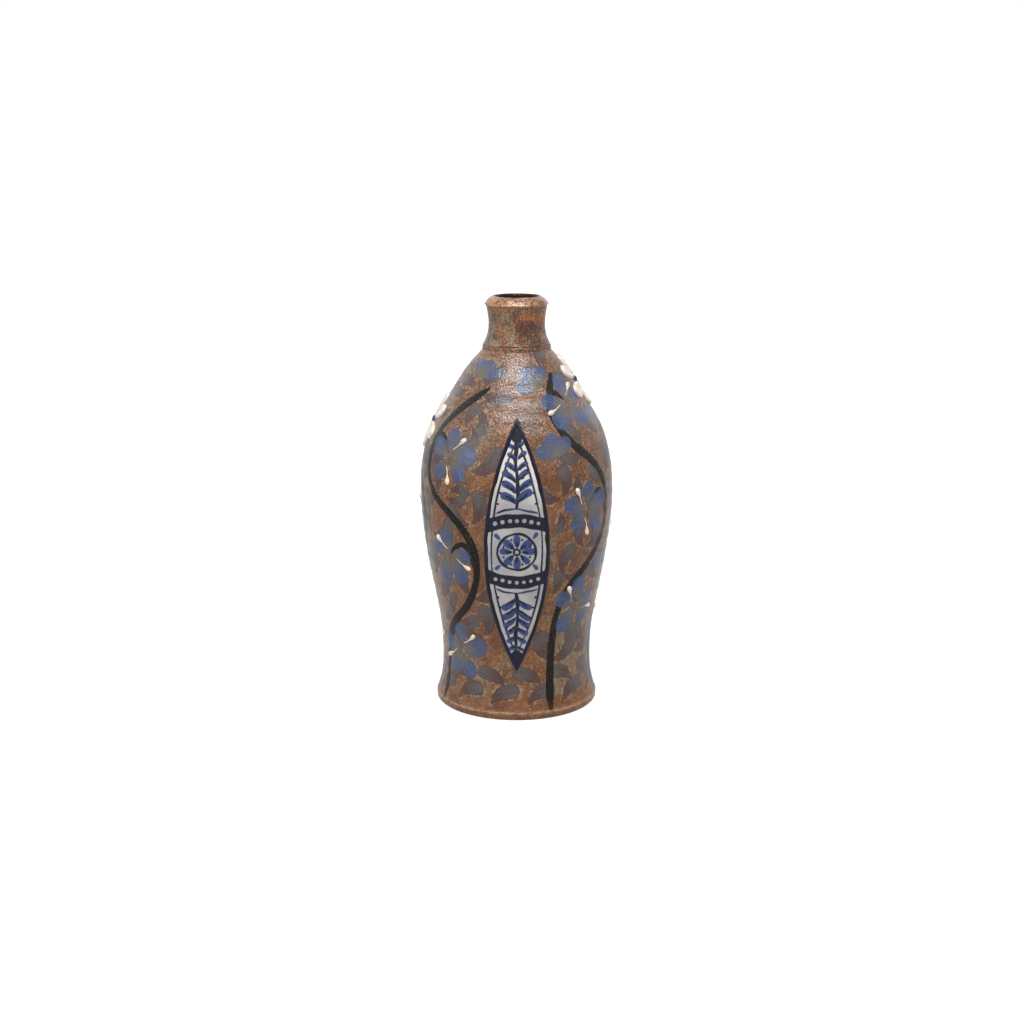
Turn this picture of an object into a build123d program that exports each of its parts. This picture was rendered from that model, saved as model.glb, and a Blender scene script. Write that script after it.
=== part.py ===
"""A hand-thrown stoneware bottle with a narrow mouth and slip-trailed relief.

The pot was thrown in two parts, a hollow body and a neck, luted together at the groove below the neck.
A liner glaze coats the inside. White slip is laid on the outside: an almond panel with a raised outline on
the front and the back, a blossom on each side of the shoulder, and small trailed drops round the body.
The frame has its origin on the ground at the bottle's axis, +Z up, and the front panel faces -Y.
"""

from build123d import *
from math import asin, atan2, cos, degrees, hypot, radians, sin
import os

# Foot
foot_radius = 39.9
foot_edge_height = 3.6
foot_bevel = 0.9
foot_step = 0.45
foot_ring_width = 7.0
foot_recess_depth = 1.6
foot_recess_bevel = 0.8
floor_thickness = 6.0

# Body wall, each height counted from the station below it
waist_radius = 36.7
waist_height = 23.0
belly_radius = 46.8
belly_rise = 86.0
collar_radius = 16.5
shoulder_rise = 65.6
collar_height = 2.4
collar_bevel = 0.45
wall_thickness = 5.0
inner_corner_radius = 6.5

# Neck and lip
neck_foot_radius = 16.25
neck_waist_radius = 13.6
neck_height = 23.0
lip_edge_radius = 15.4
lip_drop = 3.7
lip_undercut = 0.75
lip_crest_width = 1.4
mouth_radius = 10.0
mouth_round_height = 2.3

# Liner glaze
glaze_thickness = 0.5

# White panel on the front and the back
panel_length = 124.0
panel_half_width = 15.5
panel_foot_gap = 20.0
panel_thickness = 0.45
outline_width = 2.2
outline_tip_width = 4.4
outline_thickness = 0.75

# Blossom on each side of the shoulder, a quarter turn from the front, and how far its middle lies
# below the collar
blossom_turn = 90.0
right_blossom_drop = 14.4
left_blossom_drop = 33.6
petal_inner_reach = 2.7
petal_length = 12.6
petal_half_width = 3.8
petal_thickness = 1.0
petal_count = 6
heart_radius = 2.0
heart_height = 1.3

# Trailed drops
drop_half_width = 1.25
drop_length = 9.0
drop_thickness = 0.9
drop_spread = 8.4

# Clear overrun of a cutting tool past what it cuts
overrun = 5.0
# Where the turned surfaces start and end, between two columns of relief, in degrees
start_turn = 22.5
# How far round the bottle the strip of coat runs that one small piece of slip is cut from, in degrees
strip_arc = 70.0

# Radius and height shares of the wall's stations: foot to waist, waist to belly, belly to collar
cove_shares = [(0.70, 0.40)]
flank_shares = [(0.06, 0.165), (0.41, 0.41), (0.78, 0.655)]
shoulder_shares = [(0.065, 0.27), (0.20, 0.456), (0.43, 0.634), (0.762, 0.872)]
# Radius and height shares of the neck's stations, from its foot to its waist, and the waist's own height
neck_shares = [(0.62, 0.30)]
neck_waist_share = 0.52
# Where the lip's bevel bulges past a straight line from the crest to the edge
bevel_bulge_shares = (0.58, 0.40)

# Where the rosettes stand: turn about the axis in degrees, height share of the wall above the waist,
# and the turns of the rosette's two drops about its middle, in degrees clockwise from straight up
rosette_places_shares = [
    (-45.0, 0.690, (36.0, 180.0)),
    (-45.0, 0.372, (-36.0, 108.0)),
    (-45.0, 0.052, (36.0, -108.0)),
    (45.0, 0.850, (-108.0, 36.0)),
    (45.0, 0.530, (-36.0, 180.0)),
    (45.0, 0.212, (108.0, -36.0)),
    (90.0, 0.475, (36.0, -108.0)),
    (90.0, 0.110, (-36.0, 108.0)),
]

floor_height = foot_recess_depth + floor_thickness
belly_height = waist_height + belly_rise
collar_foot_height = belly_height + shoulder_rise
seam_height = collar_foot_height + collar_height
crest_height = seam_height + neck_height
lip_edge_height = crest_height - lip_drop
crest_radius = mouth_radius + lip_crest_width
glaze_line_height = crest_height - mouth_round_height
clay_bore_radius = mouth_radius + glaze_thickness


def between(start, end, shares):
    """Points a share of the way in radius and in height from one station to the next."""
    (r0, z0), (r1, z1) = start, end
    return [(r0 + (r1 - r0) * rs, z0 + (z1 - z0) * zs) for rs, zs in shares]


def wall_stations():
    """What the outside wall passes, from the top of the foot band to the foot of the collar."""
    foot = (foot_radius - foot_step, foot_edge_height + foot_step)
    waist = (waist_radius, waist_height)
    belly = (belly_radius, belly_height)
    collar = (collar_radius, collar_foot_height)
    return [
        foot,
        *between(foot, waist, cove_shares),
        waist,
        *between(waist, belly, flank_shares),
        belly,
        *between(belly, collar, shoulder_shares),
        collar,
    ]


def shifted(points, inset):
    """The same stations moved square to the line, towards the axis for a positive inset."""
    moved = []
    for i, (r, z) in enumerate(points):
        r0, z0 = points[max(i - 1, 0)]
        r1, z1 = points[min(i + 1, len(points) - 1)]
        span = hypot(r1 - r0, z1 - z0)
        moved.append((r - inset * (z1 - z0) / span, z + inset * (r1 - r0) / span))
    return moved


def wall_line():
    return Spline(*wall_stations())


def turned(*edges):
    """A closed half outline in radius and height, turned about the axis from a place clear of relief."""
    return Rot(0, 0, start_turn) * revolve(Plane.XZ * make_face(edges), Axis.Z)


def cavity(inset):
    """The hollow inside the pot below the seam, at this depth inside the outer wall."""
    floor = floor_height + inset - wall_thickness
    bore = clay_bore_radius + wall_thickness - inset
    stations = wall_stations()
    first = stations.index((waist_radius, waist_height))
    inner = shifted(stations, inset)[first:-1]
    side = inner[0][0]
    corner = inner_corner_radius
    wall = Spline(*inner, (bore, seam_height), tangents=[(0, 1), (0, 1)])
    return turned(
        Line((0, floor), (side - corner, floor)),
        RadiusArc((side - corner, floor), (side, floor + corner), -corner),
        Line((side, floor + corner), inner[0]),
        wall,
        Line((bore, seam_height), (0, seam_height)),
        Line((0, seam_height), (0, floor)),
    )


def core():
    """The body as a solid lump, with its outside and its turned foot."""
    ring = foot_radius - foot_bevel - foot_ring_width
    recess = ring - foot_recess_bevel
    line = wall_line()
    top = collar_radius - collar_bevel
    return turned(
        Line((0, foot_recess_depth), (recess, foot_recess_depth)),
        Line((recess, foot_recess_depth), (ring, 0)),
        Line((ring, 0), (foot_radius - foot_bevel, 0)),
        Line((foot_radius - foot_bevel, 0), (foot_radius, foot_bevel)),
        Line((foot_radius, foot_bevel), (foot_radius, foot_edge_height)),
        Line((foot_radius, foot_edge_height), line @ 0),
        line,
        Line(line @ 1, (collar_radius, seam_height - collar_bevel)),
        Line((collar_radius, seam_height - collar_bevel), (top, seam_height)),
        Line((top, seam_height), (0, seam_height)),
        Line((0, seam_height), (0, foot_recess_depth)),
    )


def body():
    """The thrown body: a wall of even thickness over a thicker floor, open at the seam."""
    return core() - cavity(wall_thickness)


def neck_and_lip():
    """The neck, thrown apart and luted on, with its bevelled lip round a straight mouth."""
    foot = (neck_foot_radius, seam_height)
    waist = (neck_waist_radius, seam_height + neck_height * neck_waist_share)
    under = (lip_edge_radius - lip_undercut, lip_edge_height - lip_undercut)
    edge = (lip_edge_radius, lip_edge_height)
    crest = (crest_radius, crest_height)
    across, down = bevel_bulge_shares
    bulge = (
        crest_radius + (lip_edge_radius - crest_radius) * across,
        crest_height - lip_drop * down,
    )
    outside = Spline(foot, *between(foot, waist, neck_shares), waist, under)
    mouth = (mouth_radius, glaze_line_height)
    return turned(
        Line((clay_bore_radius, seam_height), foot),
        outside,
        Line(under, edge),
        ThreePointArc(edge, bulge, crest),
        EllipticalCenterArc(
            (crest_radius, glaze_line_height),
            lip_crest_width,
            mouth_round_height,
            start_angle=90,
            arc_size=90,
        ),
        Line(mouth, (clay_bore_radius, glaze_line_height)),
        Line((clay_bore_radius, glaze_line_height), (clay_bore_radius, seam_height)),
    )


def liner_glaze():
    """The glaze poured round the inside, one even coat from the floor to the lip."""
    coat = cavity(wall_thickness) - cavity(wall_thickness + glaze_thickness)
    height = glaze_line_height - seam_height
    tube = Cylinder(clay_bore_radius, height) - Cylinder(mouth_radius, height)
    return coat + Pos(0, 0, seam_height + height / 2) * tube


def coat_section(thickness):
    """The edges round the section of a coat of this thickness on the outside of the wall."""
    inner = wall_line()
    outer = Spline(*shifted(wall_stations(), -thickness))
    return [inner, Line(inner @ 1, outer @ 1), outer, Line(outer @ 0, inner @ 0)]


def coat_on_wall(thickness):
    """A coat of this thickness all over the outside of the wall."""
    return turned(*coat_section(thickness))


def coat_strip(thickness, turn):
    """An upright strip of such a coat, with this turn at its middle; turn 0 is the front."""
    section = Plane.XZ * make_face(coat_section(thickness))
    return Rot(0, 0, turn - 90 - strip_arc / 2) * revolve(section, Axis.Z, strip_arc)


def almond(half_length, half_width):
    """A pointed oval standing on end, of two arcs."""
    low, high = (0, -half_length), (0, half_length)
    return make_face(
        [
            ThreePointArc(low, (half_width, 0), high),
            ThreePointArc(high, (-half_width, 0), low),
        ]
    )


def through_front(sketch):
    """A flat figure in width and height, run from the axis out through the front of the bottle."""
    middle = foot_edge_height + panel_foot_gap + panel_length / 2
    return extrude(Plane.XZ * Pos(0, middle) * sketch, belly_radius + overrun)


def front_and_back(shape):
    return [shape, Rot(0, 0, 180) * shape]


def panel_inside():
    """What the raised line leaves free for the white field."""
    return almond(panel_length / 2 - outline_tip_width, panel_half_width - outline_width)


def panel_fields():
    """The white slip fields, each inside its outline."""
    return front_and_back(coat_on_wall(panel_thickness) & through_front(panel_inside()))


def panel_outlines():
    """The raised line round each field."""
    line = almond(panel_length / 2, panel_half_width) - panel_inside()
    return front_and_back(coat_on_wall(outline_thickness) & through_front(line))


def wall_at(height):
    """The outside radius at this height, and how far the wall leans out from plumb, in degrees."""
    line = wall_line()
    low, high = 0.0, 1.0
    for _ in range(40):
        middle = (low + high) / 2
        if (line @ middle).Y < height:
            low = middle
        else:
            high = middle
    along = line % low
    return (line @ low).X, degrees(atan2(along.X, along.Y))


def on_wall(turn, height):
    """A place on the wall, its X level, its Y up the wall and its Z outward; turn 0 is the front."""
    radius, lean = wall_at(height)
    outward = (0, -cos(radians(lean)), -sin(radians(lean)))
    plane = Plane(origin=(0, -radius, height), x_dir=(1, 0, 0), z_dir=outward)
    return Rot(0, 0, turn) * plane.location


def teardrop(root, length, half_width):
    """A round end on two straight sides that meet in a point, this far up from the origin."""
    middle = root + length - half_width
    tangent = asin(half_width / (middle - root))
    side = (half_width * cos(tangent), middle - half_width * sin(tangent))
    return make_face(
        [
            Line((0, root), side),
            ThreePointArc(side, (0, root + length), (-side[0], side[1])),
            Line((-side[0], side[1]), (0, root)),
        ]
    )


def laid_on_wall(outline, thickness, turn, height, reach, spin):
    """A piece of slip this far along the wall from a place and facing away from it.

    The spin is the way from the place, in degrees clockwise from straight up."""
    radius, lean = wall_at(height)
    across = reach * sin(radians(spin))
    up = reach * cos(radians(spin)) * cos(radians(lean))
    place = on_wall(turn + degrees(across / radius), height + up) * Rot(0, 0, -spin)
    tool = place * Pos(0, 0, -overrun) * extrude(outline, overrun + thickness + overrun)
    return (coat_strip(thickness, turn) & tool).solid()


def blossom_middles():
    """Turn and height of the middle of each blossom."""
    return [
        (blossom_turn, collar_foot_height - right_blossom_drop),
        (-blossom_turn, collar_foot_height - left_blossom_drop),
    ]


def blossom_petals():
    """A ring of petals on each side of the shoulder."""
    outline = teardrop(-petal_length / 2, petal_length, petal_half_width)
    reach = petal_inner_reach + petal_length / 2
    spins = [i * 360 / petal_count for i in range(petal_count)]
    return [
        laid_on_wall(outline, petal_thickness, turn, height, reach, spin)
        for turn, height in blossom_middles()
        for spin in spins
    ]


def blossom_hearts():
    """The domed button in the middle of each ring of petals."""
    dome = (heart_radius**2 + heart_height**2) / (2 * heart_height)
    button = Pos(0, 0, heart_height - dome) * Sphere(dome) & Cylinder(heart_radius, 2 * overrun)
    return [on_wall(turn, height) * button - core() for turn, height in blossom_middles()]


def slip_drops():
    """Trailed drops round each rosette's place, thin ends inward, on both halves of the bottle."""
    outline = teardrop(-drop_length / 2, drop_length, drop_half_width)
    span = collar_foot_height - waist_height
    found = []
    for turn, share, spins in rosette_places_shares:
        height = waist_height + span * share
        for spin in spins:
            drop = laid_on_wall(outline, drop_thickness, turn, height, drop_spread, spin)
            found += front_and_back(drop)
    return found


def write(name, shapes):
    """One STEP file for a piece, or for a group of like pieces."""
    solids = [s for shape in shapes for s in shape.solids()]
    export_step(solids[0] if len(solids) == 1 else Compound(children=solids), f"parts/{name}.step")


os.makedirs("parts", exist_ok=True)
write("body", [body()])
write("neck_and_lip", [neck_and_lip()])
write("liner_glaze", [liner_glaze()])
write("panel_fields", panel_fields())
write("panel_outlines", panel_outlines())
write("blossom_petals", blossom_petals())
write("blossom_hearts", blossom_hearts())
write("slip_drops", slip_drops())
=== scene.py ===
"""A hand-thrown stoneware bottle with brushed and trailed slip, standing in soft studio light."""

from math import cos, degrees, pi, radians, sin

import bpy
import numpy as np
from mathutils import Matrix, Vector


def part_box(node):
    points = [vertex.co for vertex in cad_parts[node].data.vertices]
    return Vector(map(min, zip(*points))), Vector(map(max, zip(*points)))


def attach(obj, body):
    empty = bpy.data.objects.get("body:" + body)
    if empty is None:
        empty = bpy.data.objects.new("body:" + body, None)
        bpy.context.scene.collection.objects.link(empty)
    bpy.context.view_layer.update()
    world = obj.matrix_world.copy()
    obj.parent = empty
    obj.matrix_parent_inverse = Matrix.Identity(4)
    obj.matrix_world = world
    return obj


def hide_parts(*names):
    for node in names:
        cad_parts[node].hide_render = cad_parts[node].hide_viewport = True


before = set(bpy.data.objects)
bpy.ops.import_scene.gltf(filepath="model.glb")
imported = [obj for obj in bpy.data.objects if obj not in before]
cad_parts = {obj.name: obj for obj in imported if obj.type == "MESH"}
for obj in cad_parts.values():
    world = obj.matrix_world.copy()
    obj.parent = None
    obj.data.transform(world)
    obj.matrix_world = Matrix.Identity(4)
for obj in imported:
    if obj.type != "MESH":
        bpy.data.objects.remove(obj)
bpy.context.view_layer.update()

# The studio: the bottle stands on a white sweep of paper, seen from a little above its mouth.
# One wide soft lamp hangs over the front of the bottle and a paler one fills in from the left;
# white walls all round give the glaze something to mirror.
MM = 0.001
picture_width = 1024
focal_pixels = 1566
axis_column = 516.7
eye_distance = 750 * MM
eye_height = 273 * MM
eye_tilt = 13.43
shoulder = (0, 0, 0.15)
wall_light = 0.58
paper_reach = 40.0
paper_drop = 0.1 * MM
paper_white = (0.78, 0.78, 0.78, 1)
paper_near, paper_glow_near = 0.1, 0.60
paper_far, paper_glow_far = 1.2, 0.72

camera = bpy.data.objects.new("camera", bpy.data.cameras.new("camera"))
camera.data.sensor_width = 36
camera.data.lens = camera.data.sensor_width * focal_pixels / picture_width
camera.data.clip_start = 0.05
eye_aside = (picture_width / 2 - axis_column) * eye_distance / focal_pixels
camera.location = (eye_aside, -eye_distance, eye_height)
camera.rotation_euler = (radians(90 - eye_tilt), 0, 0)
bpy.context.scene.collection.objects.link(camera)
bpy.context.scene.camera = camera
bpy.context.scene.view_settings.view_transform = "Standard"


def soft_lamp(name, place, aim, width, height, watts):
    """A rectangular softbox hung at a place and turned towards what it lights."""
    lamp = bpy.data.objects.new(name, bpy.data.lights.new(name, "AREA"))
    lamp.data.shape = "RECTANGLE"
    lamp.data.size = width
    lamp.data.size_y = height
    lamp.data.energy = watts
    lamp.location = place
    lamp.rotation_euler = (Vector(aim) - Vector(place)).to_track_quat("-Z", "Y").to_euler()
    bpy.context.scene.collection.objects.link(lamp)


soft_lamp("front_lamp", (0.02, -0.42, 1.05), shoulder, width=0.78, height=0.14, watts=10.0)
soft_lamp("left_lamp", (-0.95, -0.55, 0.45), shoulder, width=0.5, height=0.8, watts=1.6)


def feed(node, inputs):
    """Feeds a node's sockets, each from another node's output or with a plain value."""
    for socket, value in inputs.items():
        if isinstance(value, bpy.types.NodeSocket):
            node.id_data.links.new(value, node.inputs[socket])
        else:
            node.inputs[socket].default_value = value


def new_node(tree, kind, inputs, **settings):
    """A shader node of this kind, set and fed."""
    node = tree.nodes.new("ShaderNode" + kind)
    for setting, value in settings.items():
        setattr(node, setting, value)
    feed(node, inputs)
    return node


def ramped(tree, value, low, high, to_low, to_high):
    """The value from low to high, eased into the range asked for."""
    inputs = {"Value": value, "From Min": low, "From Max": high, "To Min": to_low, "To Max": to_high}
    return new_node(tree, "MapRange", inputs, interpolation_type="SMOOTHSTEP").outputs["Result"]


def bare_tree(owner):
    """The emptied node tree of a new world or material."""
    owner.use_nodes = True
    owner.node_tree.nodes.clear()
    return owner.node_tree


world = bpy.data.worlds.new("white walls")
bpy.context.scene.world = world
tree = bare_tree(world)
rays = new_node(tree, "LightPath", {}).outputs
seen = new_node(tree, "Math", {0: rays["Is Camera Ray"], 1: rays["Is Glossy Ray"]}, operation="MAXIMUM")
passed = new_node(tree, "Math", {0: seen.outputs[0], 1: rays["Is Transmission Ray"]}, operation="MAXIMUM")
strength = new_node(tree, "MapRange", {"Value": passed.outputs[0], "To Min": wall_light, "To Max": 1.0})
walls = new_node(tree, "Background", {"Color": (1, 1, 1, 1), "Strength": strength.outputs["Result"]})
new_node(tree, "OutputWorld", {"Surface": walls.outputs[0]})

corners = [(x * paper_reach, y * paper_reach, 0) for x, y in ((-1, -1), (1, -1), (1, 1), (-1, 1))]
paper_mesh = bpy.data.meshes.new("paper_sweep")
paper_mesh.from_pydata(corners, [], [(0, 1, 2, 3)])
paper_floor = bpy.data.objects.new("paper_sweep", paper_mesh)
paper_floor.location = (0, 0, -paper_drop)
bpy.context.scene.collection.objects.link(paper_floor)
paper = bpy.data.materials.new("white paper")
tree = bare_tree(paper)
rays = new_node(tree, "LightPath", {}).outputs
where = new_node(tree, "TexCoord", {})
away = new_node(tree, "VectorMath", {0: where.outputs["Object"]}, operation="LENGTH")
spread = ramped(tree, away.outputs["Value"], paper_near, paper_far, paper_glow_near, paper_glow_far)
lift = new_node(tree, "Math", {0: rays["Is Camera Ray"], 1: spread}, operation="MULTIPLY")
glow = new_node(tree, "Emission", {"Strength": lift.outputs[0]})
matte = new_node(tree, "BsdfDiffuse", {"Color": paper_white})
both = new_node(tree, "AddShader", {0: matte.outputs[0], 1: glow.outputs[0]})
new_node(tree, "OutputMaterial", {"Surface": both.outputs[0]})
paper_mesh.materials.append(paper)

# The thrown body: one hollow of coarse iron-rich clay, thrown on the wheel and turned at the foot.
# It was painted with thin slips before one salt firing, which left orange-peel glaze,
# brown flashes and grey-green ash where the flame ran. Sizes are in millimetres.
foot_radius = 39.9
foot_edge_height = 3.6
foot_bevel = 0.9
foot_step = 0.45
foot_ring_width = 7.0
foot_recess_depth = 1.6
foot_recess_bevel = 0.8
floor_height = 7.6
waist = (36.7, 23.0)
belly = (46.8, 109.0)
collar = (16.5, 174.6)
seam_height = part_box("body")[1][2] / MM
collar_bevel = 0.45
clay_bore_radius = 10.55
inside_depth = 4.9
inside_corner = 6.5
inside_rows = 8
cove_shares = [(0.70, 0.40)]
flank_shares = [(0.06, 0.165), (0.41, 0.41), (0.78, 0.655)]
shoulder_shares = [(0.065, 0.27), (0.20, 0.456), (0.43, 0.634), (0.762, 0.872)]
row_step = 0.45
columns = 640
column_angle = 2 * pi / columns
axis_gap = 0.4
throwing_pitch = 6.8
throwing_depth = 0.045
throwing_fade = 6
wander_depth = 0.13
peel_size = 2.6
peel_depth = 0.012
stem_depth, leaf_depth, flower_depth = 0.06, 0.05, 0.08
slip_edge = 0.7
band_edge_reach = 0.5
salt_foot = 95
salt_climb = 60


def between(start, end, shares):
    """Stations a share of the way in radius and in height from one place to the next."""
    (r0, z0), (r1, z1) = start, end
    return [(r0 + (r1 - r0) * rs, z0 + (z1 - z0) * zs) for rs, zs in shares]


def run_along(line):
    """How far along the line each of its points lies."""
    return np.concatenate([[0], np.cumsum(np.linalg.norm(np.diff(line, axis=0), axis=1))])


def smooth_line(stations, step):
    """A springy line through the stations, with a point about every step."""
    at = np.array(stations, float)
    run = run_along(at)
    gap = np.diff(run)
    count = len(at)
    pull = np.zeros((count, count))
    load = np.zeros((count, 2))
    pull[0, 0] = pull[-1, -1] = 1
    for i in range(1, count - 1):
        pull[i, i - 1 : i + 2] = gap[i - 1], 2 * (gap[i - 1] + gap[i]), gap[i]
        load[i] = 6 * ((at[i + 1] - at[i]) / gap[i] - (at[i] - at[i - 1]) / gap[i - 1])
    bend = np.linalg.solve(pull, load)
    where = np.linspace(0, run[-1], round(run[-1] / step) + 1)
    k = np.clip(np.searchsorted(run, where, side="right") - 1, 0, count - 2)
    done, left, span = (where - run[k])[:, None], (run[k + 1] - where)[:, None], gap[k][:, None]
    sprung = (bend[k] * left**3 + bend[k + 1] * done**3) / (6 * span)
    from_last = (at[k] / span - bend[k] * span / 6) * left
    from_next = (at[k + 1] / span - bend[k + 1] * span / 6) * done
    return sprung + from_last + from_next


def eased_line(corners, ease, step):
    """Straight runs between corners, each corner wiped round with a wet finger."""
    at = np.array(corners, float)
    path = [at[0]]
    for i in range(1, len(at) - 1):
        back, on = at[i - 1] - at[i], at[i + 1] - at[i]
        start = at[i] + back * min(ease / np.linalg.norm(back), 0.5)
        end = at[i] + on * min(ease / np.linalg.norm(on), 0.5)
        for t in np.linspace(0, 1, 6):
            path.append(start * (1 - t) ** 2 + 2 * at[i] * t * (1 - t) + end * t * t)
    path.append(at[-1])
    path = np.array(path)
    run = run_along(path)
    extra = [path[:1]]
    for i in range(len(path) - 1):
        count = max(1, round((run[i + 1] - run[i]) / step))
        t = np.linspace(0, 1, count + 1)[1:, None]
        extra.append(path[i] * (1 - t) + path[i + 1] * t)
    return np.concatenate(extra)


def line_normals(line):
    """The direction square to the line and out of the clay at each of its points."""
    along = np.gradient(line, axis=0)
    along /= np.linalg.norm(along, axis=1)[:, None]
    return np.stack([along[:, 1], -along[:, 0]], axis=1)


wall_stations = [
    (foot_radius - foot_step, foot_edge_height + foot_step),
    *between((foot_radius - foot_step, foot_edge_height + foot_step), waist, cove_shares),
    waist,
    *between(waist, belly, flank_shares),
    belly,
    *between(belly, collar, shoulder_shares),
    collar,
]
wall = smooth_line(wall_stations, row_step)
wall_normal = line_normals(wall)
wall_run = run_along(wall)
turns = np.arange(columns) * column_angle


def run_at(height):
    """How far up the wall, along its line, a height lies."""
    return np.interp(height, wall[:, 1], wall_run)


def radius_at(run):
    return np.interp(run, wall_run, wall[:, 0])


def swung(turn, r, z):
    """Points this far from the bottle's axis and this high, at turns from the front in radians."""
    return np.stack(np.broadcast_arrays(r * np.sin(turn), -r * np.cos(turn), z), axis=-1)


def on_wall(turn, run, lift):
    """Points this far above the clay, at turns from the front in radians and runs up the wall."""
    nr = np.interp(run, wall_run, wall_normal[:, 0])
    nz = np.interp(run, wall_run, wall_normal[:, 1])
    return swung(turn, radius_at(run) + lift * nr, np.interp(run, wall_run, wall[:, 1]) + lift * nz)


# What the brush has laid on the wall, for each colour: how far each point of the wall lies outside the
# nearest stroke (less than nothing inside it), how far along that stroke it is, and how far to its side.
brush_reach = 2.5


def clean_wall():
    laid = np.zeros((3, len(wall), columns))
    laid[0] = brush_reach
    return laid


stems, leaves, flowers = clean_wall(), clean_wall(), clean_wall()


def touch(laid, turn, run, half, along, heading, lane=0.0):
    """One round touch of the brush, the unit that every stroke is a row of."""
    rows = np.nonzero(np.abs(wall_run - run) < half + brush_reach)[0]
    if not len(rows):
        return
    radius = wall[rows, 0]
    side = int((half + brush_reach) / radius.min() / column_angle) + 1
    middle = round(turn / column_angle)
    steps = middle + np.arange(-side, side + 1)
    dx = (steps * column_angle - turn)[None, :] * radius[:, None]
    dy = (wall_run[rows] - run)[:, None]
    gap = np.hypot(dx, dy) - half
    place = np.ix_(rows, steps % columns)
    nearer = gap < laid[0][place]
    aside = dx * cos(heading) - dy * sin(heading) + lane
    for layer, value in enumerate((gap, along, aside)):
        laid[layer][place] = np.where(nearer, value, laid[layer][place])


def dab(laid, turn, height, aim, length, half, curl=0.0, start=0.0, tail=0.25):
    """One press and lift of the brush: thin near its place, then swelling to a round end.

    aim is in degrees clockwise from straight up, curl is how many degrees the stroke turns on its way.
    Each stroke has a lane of its own, so that no two show the same hair marks."""
    t = np.linspace(0, 1, 26)
    heading = radians(aim) + radians(curl) * (t - 0.5)
    x = start * sin(radians(aim)) + np.cumsum(np.sin(heading)) * length / len(t)
    y = start * cos(radians(aim)) + np.cumsum(np.cos(heading)) * length / len(t)
    halves = half * (tail + (1 - tail) * np.sin(pi / 2 * np.minimum(1, t * 1.2)) ** 1.2)
    run = run_at(height) + y
    lane = (turn * 1.7 + height * 0.9 + aim * 0.3) % 50
    turn = radians(turn) + x / radius_at(run)
    for i in range(len(t)):
        touch(laid, turn[i], run[i], halves[i], t[i], heading[i], lane)


def stem(places, half):
    """A long stroke through places given as turn in degrees and height, pressed unevenly."""
    scale = belly[0]
    line = [(radians(turn) * scale, run_at(height)) for turn, height in places]
    path = smooth_line(line, 0.6)
    count = len(path)
    t = np.linspace(0, 1, count)
    press = 1 + 0.10 * np.sin(t * 19 + places[0][0]) + 0.06 * np.sin(t * 43)
    ends = np.minimum(1, 0.55 + 0.45 * np.minimum(t, 1 - t) * count / 9)
    along = np.gradient(path, axis=0)
    heading = np.arctan2(along[:, 0], along[:, 1])
    for i in range(count):
        touch(stems, path[i, 0] / scale, path[i, 1], half * press[i] * ends[i], i * 0.06, heading[i])


# The plan of the brushwork, on one half of the wall; the other half is the same turned half way round.
# A rosette is its turn, its height and the ways of the two drops trailed round it; a pair of leaves or
# a bud is its turn, its height and the way it points. Stems are the places that they run through.
# In the strokes, a number under a sine only makes each one differ a little from the next.
rosettes = [
    (-45, 127.6, (36, 180)),
    (-45, 79.4, (-36, 108)),
    (-45, 30.9, (36, -108)),
    (45, 151.9, (-108, 36)),
    (45, 103.3, (-36, 180)),
    (45, 55.1, (108, -36)),
    (90, 95.0, (36, -108)),
    (90, 39.7, (-36, 108)),
]
stem_half = 1.95
twig_half = stem_half * 0.72
long_stems = [
    [(25, 4.6), (26, 22), (27, 42), (33, 62), (50, 76), (63, 90), (65, 108), (54, 124), (36, 136),
     (27, 150), (40, 165)],
    [(-65, 4.6), (-64, 20), (-57, 40), (-38, 54), (-27, 68), (-28, 88), (-44, 102), (-62, 114),
     (-65, 132), (-50, 149), (-27, 159)],
    [(84, 4.6), (76, 24), (77, 46), (90, 64), (103, 82), (108, 100), (101, 114), (91, 119)],
]
twigs = [
    [(28, 50), (36, 60), (45, 57)],
    [(64, 98), (57, 111), (46, 106)],
    [(27, 148), (34, 157), (44, 154)],
    [(-61, 30), (-55, 40), (-46, 34)],
    [(-27, 76), (-34, 87), (-44, 82)],
    [(-65, 124), (-57, 137), (-46, 130)],
    [(105, 90), (99, 102), (91, 98)],
    [(76, 34), (82, 46), (89, 42)],
]
leaf_pairs = [
    (26, 28, 20), (30, 72, 55), (45, 84, 20), (64, 82, 10), (66, 116, -25), (45, 131, -60), (33, 166, 60),
    (-66, 12, 0), (-50, 47, 50), (-31, 60, 25), (-27, 97, -20), (-53, 108, -50), (-66, 120, -5),
    (-60, 148, 40), (-33, 158, 70), (84, 14, -15), (78, 56, 20), (97, 74, 35), (106, 112, -20),
    (92, 120, -10), (68, 66, -10), (70, 136, 10), (64, 34, 0), (27, 110, -30), (-29, 122, 20),
    (-24, 40, -30), (50, 118, 150), (-70, 66, -20), (48, 30, 30), (100, 30, 15), (118, 88, 30),
    (112, 56, 10), (60, 160, 20),
]
buds = [(27, 129, -20), (-47, 164, 25), (24, 160, -40), (66, 70, 10), (72, 140, 0)]
blossoms = {"right": (90, 160.2), "left": (-90, 141.0)}
blossom_room = 20.3


def leaf(turn, height, aim, length, half, curl):
    """A leaf, left out where it would run under a blossom's petals."""
    for at, middle in blossoms.values():
        aside = radians((turn - at + 180) % 360 - 180) * radius_at(run_at(height))
        if np.hypot(aside, run_at(height) - run_at(middle)) < blossom_room:
            return
    dab(leaves, turn, height, aim, length, half, curl=curl, start=1.5, tail=0.22)


def petal(turn, height, aim, length, half, curl, start):
    dab(flowers, turn, height, aim, length, half, curl=curl, start=start, tail=0.3)


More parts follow.
